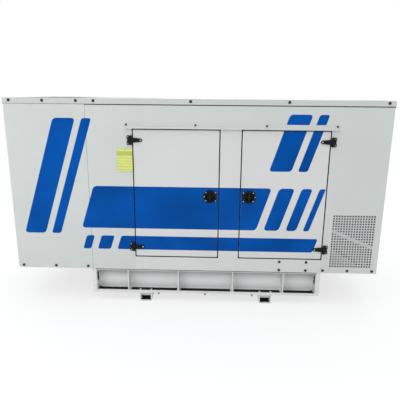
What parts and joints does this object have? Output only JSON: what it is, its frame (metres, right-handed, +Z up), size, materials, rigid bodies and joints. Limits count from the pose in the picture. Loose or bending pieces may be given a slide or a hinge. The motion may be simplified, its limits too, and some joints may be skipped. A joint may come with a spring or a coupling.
{
  "type": "standby diesel generator set",
  "caption": "Sound-proof canopy generator set on a skid base, with hinged side doors, perforated air inlet and engine inside.",
  "frame": {"origin": "on the ground, under the middle of the canopy", "axes": "+X along the canopy to the air inlet end, +Y away from the hinged doors, +Z up"},
  "size_m": [3.196, 1.14, 1.809],
  "materials": {
    "canopy_white": "satin light grey-white paint",
    "base_paint": "satin light grey-white paint, dusty",
    "black_metal": "satin black",
    "foam": "matt acoustic foam",
    "felt": "matt grey felt",
    "rubber": "matt black",
    "grille_steel": "satin grey",
    "radiator_black": "matt black",
    "fan_plastic": "matt yellow",
    "engine_paint": "painted dark grey",
    "cast_alloy": "as cast",
    "filter_paint": "gloss cream",
    "rusty_pipe": "heat-browned",
    "silencer_steel": "aluminised",
    "alternator_paint": "satin blue",
    "cabinet_paint": "textured light grey",
    "black_plastic": "matt black"
  },
  "bodies": {
    "set": {"front_base_rail": "base_paint", "rear_base_rail": "base_paint", "left_base_end": "base_paint", "right_base_end": "base_paint", "base_ribs": "base_paint", "base_feet": "base_paint", "fuel_tank": "base_paint", "floor_deck": "base_paint", "front_hood_panel": "canopy_white", "front_left_panel": "canopy_white", "front_header": "canopy_white", "front_sill": "canopy_white", "front_door_post": "canopy_white", "front_vent_panel": "canopy_white", "rear_wall": "canopy_white", "rear_vent_panel": "canopy_white", "rear_doors": "canopy_white", "left_end_wall": "canopy_white", "right_end_wall": "canopy_white", "main_roof": "canopy_white", "hood_roof": "canopy_white", "canopy_lining": "foam", "discharge_grille": "grille_steel", "drip_rails": "canopy_white", "inlet_baffles": "canopy_white", "inlet_foam": "foam", "inlet_felt": "felt", "door_seals": "rubber", "hinge_leaves": "black_metal", "rear_door_hardware": "black_metal", "radiator_bulkhead": "canopy_white", "radiator": "radiator_black", "cooling_fan": "fan_plastic", "set_bearers": "engine_paint", "rubber_mounts": "rubber", "engine_block": "engine_paint", "cylinder_head": "cast_alloy", "intake_manifold": "cast_alloy", "engine_filters": "filter_paint", "starter_motor": "engine_paint", "air_cleaner": "black_plastic", "exhaust_pipe": "rusty_pipe", "silencer": "silencer_steel", "flywheel_housing": "engine_paint", "alternator": "alternator_paint", "terminal_box": "alternator_paint", "control_cabinet": "cabinet_paint", "battery": "black_plastic"},
    "left_door_body": {"left_door": "canopy_white", "left_door_lining": "foam", "left_door_latch": "black_plastic", "left_door_hinges": "black_metal"},
    "right_door_body": {"right_door": "canopy_white", "right_door_lining": "foam", "right_door_latch": "black_plastic", "right_door_hinges": "black_metal"}
  },
  "joints": [
    {"name": "left_door_swing", "type": "hinge", "parent": "set", "child": "left_door_body", "pos_m": [-0.545, -0.561, 1.005], "axis": [0, 0, -1], "range_deg": [0, 120]},
    {"name": "right_door_swing", "type": "hinge", "parent": "set", "child": "right_door_body", "pos_m": [1.115, -0.561, 1.005], "axis": [0, 0, 1], "range_deg": [0, 120]}
  ]
}
